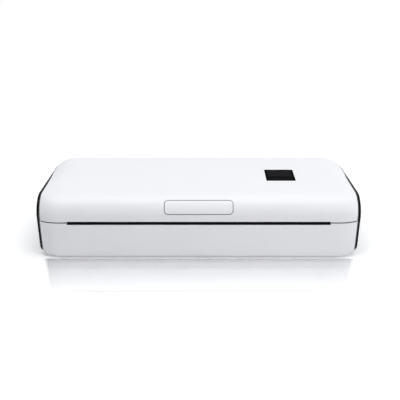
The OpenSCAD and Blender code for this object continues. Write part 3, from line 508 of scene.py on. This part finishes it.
def tube_faces(bm, rings):
    """Skins a row of closed rings of vertices and closes both ends."""
    for a, b in zip(rings, rings[1:]):
        for k in range(len(a)):
            n = (k + 1) % len(a)
            bm.faces.new((a[k], a[n], b[n], b[k]))
    bm.faces.new(rings[0])
    bm.faces.new(rings[-1][::-1])


class Detail:
    """Collects many small bevelled blocks and studs into one mesh object with several materials."""

    def __init__(self, name, body, slot, mats):
        self.name, self.body, self.slot, self.mats = name, body, slot, mats
        self.bm = bmesh.new()

    def _tag_new(self, old_faces, mat):
        for f in self.bm.faces:
            if f not in old_faces:
                f.material_index = self.mats.index(mat)

    def block(self, lo, hi, mat, bevel=0.08):
        old = set(self.bm.faces)
        verts = bmesh.ops.create_cube(self.bm, size=1.0)["verts"]
        c = [(a + b) / 2 * MM for a, b in zip(lo, hi)]
        d = [abs(b - a) * MM for a, b in zip(lo, hi)]
        for v in verts:
            v.co = Vector([v.co[i] * d[i] + c[i] for i in range(3)])
        edges = list({e for v in verts for e in v.link_edges})
        bmesh.ops.bevel(self.bm, geom=edges, offset=min(bevel * MM, min(d) * 0.3), segments=2,
                        affect="EDGES", profile=0.6)
        self._tag_new(old, mat)

    def stud(self, c, r, h, mat, axis="z", seg=20, taper=0.85):
        """A round stud from its base centre, a little narrower at the tip; it grows down where h < 0."""
        old = set(self.bm.faces)
        out = bmesh.ops.create_cone(self.bm, cap_ends=True, segments=seg, radius1=r * MM,
                                    radius2=r * taper * MM, depth=abs(h) * MM)
        for v in out["verts"]:
            x, y, z = v.co.x, v.co.y, v.co.z + abs(h) * MM / 2
            if h < 0:
                z = -z
            v.co = Vector({"z": (x, y, z), "x": (z, x, y)}[axis]) + Vector([k * MM for k in c])
        self._tag_new(old, mat)

    def done(self):
        bmesh.ops.recalc_face_normals(self.bm, faces=self.bm.faces)
        o = mesh_object(self.name, self.bm, self.mats)
        smooth_below(o, 35.0)
        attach(o, self.body)


def chip(d, c, size, h, leads, pitch):
    """A moulded package that hangs under a board's face at z = c[2], with gull leads on four sides."""
    x, y, z = c
    d.block((x - size[0] / 2, y - size[1] / 2, z), (x + size[0] / 2, y + size[1] / 2, z - h), PACKAGE, 0.12)
    for i in range(leads):
        t = (i - (leads - 1) / 2) * pitch
        for k in (-1, 1):
            ye = y + k * size[1] / 2
            xe = x + k * size[0] / 2
            d.block((x + t - 0.18, ye, z), (x + t + 0.18, ye + k * 0.7, z - 0.25), TIN, 0.03)
            d.block((xe, y + t - 0.18, z), (xe + k * 0.7, y + t + 0.18, z - 0.25), TIN, 0.03)


def passive(d, c, side, across, kind):
    """A two-terminal part on a board face, above (side 1) or below it: a body between tinned ends."""
    x, y, z = c
    a, b = (0.45, 0.8) if across else (0.8, 0.45)
    d.block((x - a, y - b, z), (x + a, y + b, z + side * 0.5), kind, 0.05)
    top = z + side * 0.52
    for k in (-1, 1):
        if across:
            d.block((x - a - 0.02, y + k * b, z), (x + a + 0.02, y + k * (b - 0.25), top), TIN, 0.04)
        else:
            d.block((x + k * a, y - b - 0.02, z), (x + k * (a - 0.25), y + b + 0.02, top), TIN, 0.04)


ELECTRIC = [PACKAGE, TIN, GOLD, IVORY, RESIST, TAN]
rng = random.Random(7)

# Stiffening ribs under the cover's top, shorter behind the display board, and bosses between them
dlo, dhi = box_mm("display_board")
roof = box_mm("cover_shell")[1][2] - WALL
ribs = Detail("cover_ribs", "cover", "cover_shell", [WHITE])
RIB_FRONT, RIB_BACK = -22.0, 35.0
rib_rows = [(x, RIB_FRONT) for x in (-104, -78, -52, -26, 0, 26, 50, 94, 106)]
rib_rows += [(x, dhi[1] + 1.5) for x in (60, 84)]
for x, y in rib_rows:
    ribs.block((x - 0.6, y, roof - 1.05), (x + 0.6, RIB_BACK, roof + 0.06), WHITE, 0.25)
ribs.block((-107.0, RIB_FRONT - 1.2, roof - 0.95), (54.0, RIB_FRONT, roof + 0.06), WHITE, 0.2)
for x in (-91, -65, -39, -13, 13, 38):
    for y in (-8.0, 20.0):
        ribs.stud((x, y, roof + 0.04), 1.6, -0.25, WHITE, seg=28)
ribs.done()

# Display board: controller, flat cable socket, passives and heat-staked posts
dz = dlo[2]
dc = ((dlo[0] + dhi[0]) / 2, (dlo[1] + dhi[1]) / 2)
disp = Detail("display_board_parts", "cover", "display_board", ELECTRIC + [WHITE])
chip(disp, (dc[0] - 6, dc[1] - 4, dz), (5.0, 5.0), 0.75, 6, 0.7)
rlo, rhi = box_mm("display_ribbon")
disp.block((rlo[0] - 1.2, rlo[1] - 2.6, dz - 1.0), (rhi[0] + 1.2, rlo[1] + 1.0, dz), IVORY, 0.15)
disp.block((rlo[0] - 0.8, rlo[1] + 1.0, dz - 0.9), (rhi[0] + 0.8, rlo[1] + 1.8, dz - 0.1), RESIST, 0.1)
for i in range(7):
    passive(disp, (dc[0] + 2 + 1.9 * (i % 4), dc[1] - 7.5 + 2.4 * (i // 4), dz), -1, i % 3 == 0,
            TAN if i % 2 else RESIST)
for sx in (-1, 1):
    for sy in (-1, 1):
        post = [dc[k] + s * (dhi[k] - dlo[k] - 3.4) / 2 for k, s in enumerate((sx, sy))]
        disp.stud((*post, dz), 1.1, -0.6, WHITE, seg=24, taper=0.6)
disp.done()

# Main board: leads round the part's packages, flat cable socket, rows of passives
blo, bhi = box_mm("main_board")
y0, bz = blo[1], bhi[2]
mb = Detail("main_board_parts", "base", "board_parts", ELECTRIC)
# Middle, size, leads on a side and their pitch
for cx, cy, sx, sy, n, pitch in ((-4, y0 + 12, 12, 12, 14, 0.8), (-31.5, y0 + 10.5, 9, 7, 7, 0.9),
                                 (24, y0 + 10, 8, 8, 9, 0.8)):
    for i in range(n):
        t = (i - (n - 1) / 2) * pitch
        for k in (-1, 1):
            ye, xe = cy + k * sy / 2, cx + k * sx / 2
            if abs(t) < sx / 2 - 0.4:
                mb.block((cx + t - 0.18, ye, bz), (cx + t + 0.18, cy + k * (sy / 2 + 0.9), bz + 0.3), TIN, 0.03)
            if abs(t) < sy / 2 - 0.4:
                mb.block((xe, cy + t - 0.18, bz), (cx + k * (sx / 2 + 0.9), cy + t + 0.18, bz + 0.3), TIN, 0.03)
hlo, hhi = box_mm("head_ribbon")
mb.block((hlo[0] - 2, hlo[1] - 1.9, bz), (hhi[0] + 2, hhi[1] + 0.5, bz + 2.4), IVORY, 0.25)
# Places already taken, from x to x and from y to y over the board's front edge
taken = [(a, b, y0 + c, y0 + d) for a, b, c, d in (
    (-11, 3.2, 5, 19), (-37.5, -25.5, 5.5, 15.5), (18.5, 29.5, 4.5, 15.5), (-55, -43, 11, 18), (39, 55, 10, 17),
    (3.5, 8.5, 13.5, 18.5), (9.5, 14.5, 13.5, 18.5), (30.5, 35.5, 13.5, 18.5), (hlo[0] - 3.2, hhi[0] + 3.2, 1, 7))]
screws = [(x, y0 + y) for x in (-58, 64) for y in (3, 22)]
PASSIVE_TRIES, ROW_PITCH = 150, 1.6
for _ in range(PASSIVE_TRIES):
    x = rng.uniform(blo[0] + 2, bhi[0] - 2)
    y = round(rng.uniform(y0 + 2, bhi[1] - 2) / ROW_PITCH) * ROW_PITCH
    if any(t[0] - 1 < x < t[1] + 1 and t[2] - 1 < y < t[3] + 1 for t in taken):
        continue
    if any(math.hypot(x - px, y - py) < 3.4 for px, py in screws):
        continue
    passive(mb, (x, y, bz), 1, rng.random() < 0.4, TAN if rng.random() < 0.5 else RESIST)
    taken.append((x - 1.1, x + 1.1, y - 0.9, y + 0.9))
mb.done()

# Port board: charger, inductor, connector and passives on the face towards the middle
pb = Detail("port_board_parts", "base", "port_board", ELECTRIC)
port_x = box_mm("port_board")[0][0]


def on_port(y, z, wide, high, h, mat, bevel=0.1):
    """A block on the port board's face, by its middle."""
    pb.block((port_x - h, y - wide / 2, z - high / 2), (port_x, y + wide / 2, z + high / 2), mat, bevel)


on_port(-8, 16, 5, 5, 0.9, PACKAGE)
for i in range(6):
    for k in (-1, 1):
        on_port(-8 - 2.0 + 0.8 * i, 16 + k * 2.85, 0.35, 0.7, 0.25, TIN, 0.03)
on_port(-18, 15, 6, 6, 2.6, RESIST, 0.6)
pb.stud((port_x - 2.55, -18, 15), 2.0, -0.1, TAN, axis="x", seg=28, taper=0.98)
on_port(-27, 12, 6, 9, 3.6, IVORY, 0.3)
for i in range(4):
    on_port(-27, 9 + 2 * i, 3.2, 0.8, 3.7, TIN, 0.05)
for i in range(16):
    y, z = -13 + (i % 8) * 1.9, 9.5 - 1.9 * (i // 8)
    on_port(y, z, 1.3, 0.8, 0.5, TAN if i % 3 else RESIST, 0.05)
    for k in (-1, 1):
        on_port(y + k * 0.65, z, 0.25, 0.82, 0.52, TIN, 0.03)
pb.done()

# USB tongue: its contact rows
ulo, uhi = box_mm("usb_socket")
uy, uz = (ulo[1] + uhi[1]) / 2, (ulo[2] + uhi[2]) / 2
usb = Detail("usb_contacts", "base", "usb_socket", ELECTRIC)
for i in range(8):
    y = uy + (i - 3.5) * 0.75
    for k in (-1, 1):
        usb.block((uhi[0] - 3.4, y - 0.16, uz + k * 0.33), (uhi[0] - 0.5, y + 0.16, uz + k * 0.40), GOLD, 0.02)
usb.done()


def coil_springs(name, node, xs, y, z0, z1, r, wire, turns=4, steps=28, sides=10):
    """Round-wire compression springs with closed end turns, standing between z0 and z1."""
    bm = bmesh.new()
    n = turns * steps
    for x in xs:
        rings = []
        for i in range(n + 1):
            t = i / n
            lift = t - 0.10 * math.sin(2 * math.pi * t)
            a = 2 * math.pi * turns * t
            out = Vector((math.cos(a), math.sin(a), 0))
            c = Vector((x, y, z0 + wire + (z1 - z0 - 2 * wire) * lift)) + out * r
            ring = []
            for k in range(sides):
                b = 2 * math.pi * k / sides
                ring.append(bm.verts.new((c + out * (wire * math.cos(b)) + Vector((0, 0, wire * math.sin(b)))) * MM))
            rings.append(ring)
        tube_faces(bm, rings)
    bmesh.ops.recalc_face_normals(bm, faces=bm.faces)
    o = mesh_object(name, bm, [WIRE])
    for f in o.data.polygons:
        f.use_smooth = True
    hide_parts(node)
    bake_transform(o)


slo, shi = box_mm("head_springs")
coil_springs("head_coil_springs", "head_springs", (-78.0, -26.0, 26.0, 78.0), (slo[1] + shi[1]) / 2,
             slo[2], shi[2], 2.1, 0.35)


def front_edge(x):
    """Y of the front face at a station: straight in the middle, drawn in along an arc at the ends."""
    s = max(0.0, abs(x) - TAPER_X)
    return FRONT_Y + DRAW * (TAPER_R - math.sqrt(TAPER_R ** 2 - s ** 2)) \
        / (TAPER_R - math.sqrt(TAPER_R ** 2 - TAPER_LEN ** 2))


# A thin dark strip in foot rubber on the base's rim, in the parting gap on both sides of the paper exit: a dark
# strip put in the gap as painted shade
shade_strip = Detail("parting_gap_shade_strip", "base", "base_shell", [FOOT])
SHADE_STRIP_X0, SHADE_STRIP_X1, SHADE_STRIP_STATIONS = 109.6, 131.4, 15
# Its section: behind the front face, above the parting plane
SHADE_STRIP_SECTION = ((0.06, -0.2), (1.3, -0.2), (1.3, 0.06), (1.2, 0.13), (0.16, 0.13), (0.06, 0.06))
for side in (-1, 1):
    rings = []
    for i in range(SHADE_STRIP_STATIONS):
        x = SHADE_STRIP_X0 + (SHADE_STRIP_X1 - SHADE_STRIP_X0) * i / (SHADE_STRIP_STATIONS - 1)
        y = front_edge(x)
        rings.append([shade_strip.bm.verts.new((side * x * MM, (y + dy) * MM, (PART_Z + dz) * MM))
                      for dy, dz in SHADE_STRIP_SECTION])
    tube_faces(shade_strip.bm, rings)
shade_strip.done()


# ---------------------------------------------------------------- floor
CAM_BACK, CAM_Z = 464.0, 278.0  # camera in front of the front face, and its height (mm)


def floor_material():
    """White table: real shade near the object, plain white far away, and a short soft mirror image in front."""
    m, nt, b = new_mat("floor_white")
    b.inputs["Base Color"].default_value = (0.90, 0.90, 0.90, 1)
    b.inputs["Roughness"].default_value = 0.6
    x, y, _ = split_xyz(nt, coords(nt))
    # What the camera sees near the object: a white that takes shade, lightened a little
    near = nt.nodes.new("ShaderNodeBsdfDiffuse")
    near.inputs["Color"].default_value = (0.96, 0.96, 0.96, 1)
    # Under the front edge the lightening is a little weaker: painted shade on the floor along the object's lower
    # front edge
    under_front = product(nt, between(nt, y, FRONT_Y, -44.0, 1.5), between(nt, x, -129.0, 129.0, 4.0))
    glow = nt.nodes.new("ShaderNodeEmission")
    nt.links.new(map_range(nt, under_front, dst=(0.22, 0.20)), glow.inputs["Strength"])
    lit = nt.nodes.new("ShaderNodeAddShader")
    nt.links.new(near.outputs[0], lit.inputs[0])
    nt.links.new(glow.outputs[0], lit.inputs[1])
    # Plain white with growing distance
    white = nt.nodes.new("ShaderNodeEmission")
    white.inputs["Strength"].default_value = 1.0
    r = calc(nt, "SQRT", calc(nt, "ADD", product(nt, x, x), product(nt, y, y)))
    seen = mix_shader(nt, map_range(nt, r, (160.0 * MM, 420.0 * MM), smooth=True), lit.outputs[0], white.outputs[0])
    # Polished only in front of the white shell, between lines of sight that leave the strips out
    mirror = nt.nodes.new("ShaderNodeBsdfGlossy")
    mirror.inputs["Roughness"].default_value = 0.035
    mirror.inputs["Color"].default_value = (0.935, 0.935, 0.935, 1)
    lean = calc(nt, "ADD", 1.0, calc(nt, "DIVIDE", calc(nt, "SUBTRACT", y, FRONT_Y * MM), CAM_BACK * MM))
    share = product(nt, map_range(nt, y, (-118.0 * MM, FRONT_Y * MM)), calc(nt, "LESS_THAN", y, FRONT_Y * MM),
                    between(nt, calc(nt, "DIVIDE", x, lean), -130.0, 130.0, 2.8))
    polished = mix_shader(nt, share, seen, mirror.outputs[0])
    nt.links.new(mix_shader(nt, eye_rays(nt), b.outputs[0], polished), nt.nodes["Material Output"].inputs["Surface"])
    return m


bm = bmesh.new()
bmesh.ops.create_grid(bm, x_segments=1, y_segments=1, size=6.0)
floor = mesh_object("floor", bm, [floor_material()])

# ---------------------------------------------------------------- sky and lamps
world = bpy.data.worlds.new("studio")
bpy.context.scene.world = world
world.use_nodes = True
wn = world.node_tree
sky = wn.nodes["Background"]
direction = wn.nodes.new("ShaderNodeTexCoord")
wx, _, wz = split_xyz(wn, direction.outputs["Generated"])
# Brighter overhead, and dimmer on the left, as the photo's front face darkens towards its left end
wn.links.new(product(wn, map_range(wn, wz, (0.0, 0.9), (0.12, 0.46)),
                     map_range(wn, wx, (-0.9, 0.3), (0.45, 1.06), smooth=True)), sky.inputs["Strength"])
wn.links.new(mix_color(wn, calc(wn, "MAXIMUM", wz, 0.0), (0.72, 0.83, 1.0), (0.97, 0.98, 1.0)), sky.inputs["Color"])
# Plain white where it is seen
backdrop = wn.nodes.new("ShaderNodeBackground")
backdrop.inputs["Color"].default_value = (1, 1, 1, 1)
backdrop.inputs["Strength"].default_value = 1.0
wn.links.new(mix_shader(wn, eye_rays(wn), sky.outputs[0], backdrop.outputs[0]),
             wn.nodes["World Output"].inputs["Surface"])


def area(name, loc, target, size, power, size_y=None, color=(1, 1, 1)):
    """A soft lamp that the camera doesn't see: places in metres, power in watts."""
    d = bpy.data.lights.new(name, "AREA")
    d.energy = power
    d.color = color
    d.size = size
    if size_y:
        d.shape = "RECTANGLE"
        d.size_y = size_y
    o = bpy.data.objects.new(name, d)
    bpy.context.scene.collection.objects.link(o)
    o.location = loc
    o.rotation_euler = (Vector(target) - Vector(loc)).to_track_quat("-Z", "Y").to_euler()
    o.visible_camera = False


area("top_soft", (0.0, -0.05, 1.1), (0, 0, 0.03), 1.4, 10.6, 1.0)
area("right_soft", (0.72, -0.46, 0.30), (0.02, 0, 0.03), 0.5, 1.15, color=(1.0, 0.99, 0.975))
area("front_soft", (0.35, -1.1, 0.08), (0.03, 0, 0.015), 0.6, 0.5, 0.2)

# ---------------------------------------------------------------- camera, fitted to the photo
FRAME_PX = 400.0
FOCAL_PX = 635.0
MIDDLE_PX = 198.7               # column of the object's middle
PITCH = 25.66                   # degrees below the horizontal
SENSOR = 36.0
cam_data = bpy.data.cameras.new("photo_camera")
cam = bpy.data.objects.new("photo_camera", cam_data)
bpy.context.scene.collection.objects.link(cam)
bpy.context.scene.camera = cam
cam_data.sensor_fit = "HORIZONTAL"
cam_data.sensor_width = SENSOR
cam_data.lens = FOCAL_PX / FRAME_PX * SENSOR
cam_data.clip_end = 50.0
cam_data.shift_x = (FRAME_PX / 2 - MIDDLE_PX) / FRAME_PX
cam.location = (0.0, (FRONT_Y - CAM_BACK) * MM, CAM_Z * MM)
cam.rotation_euler = (math.radians(90 - PITCH), 0, 0)

bpy.context.scene.view_settings.view_transform = "Standard"
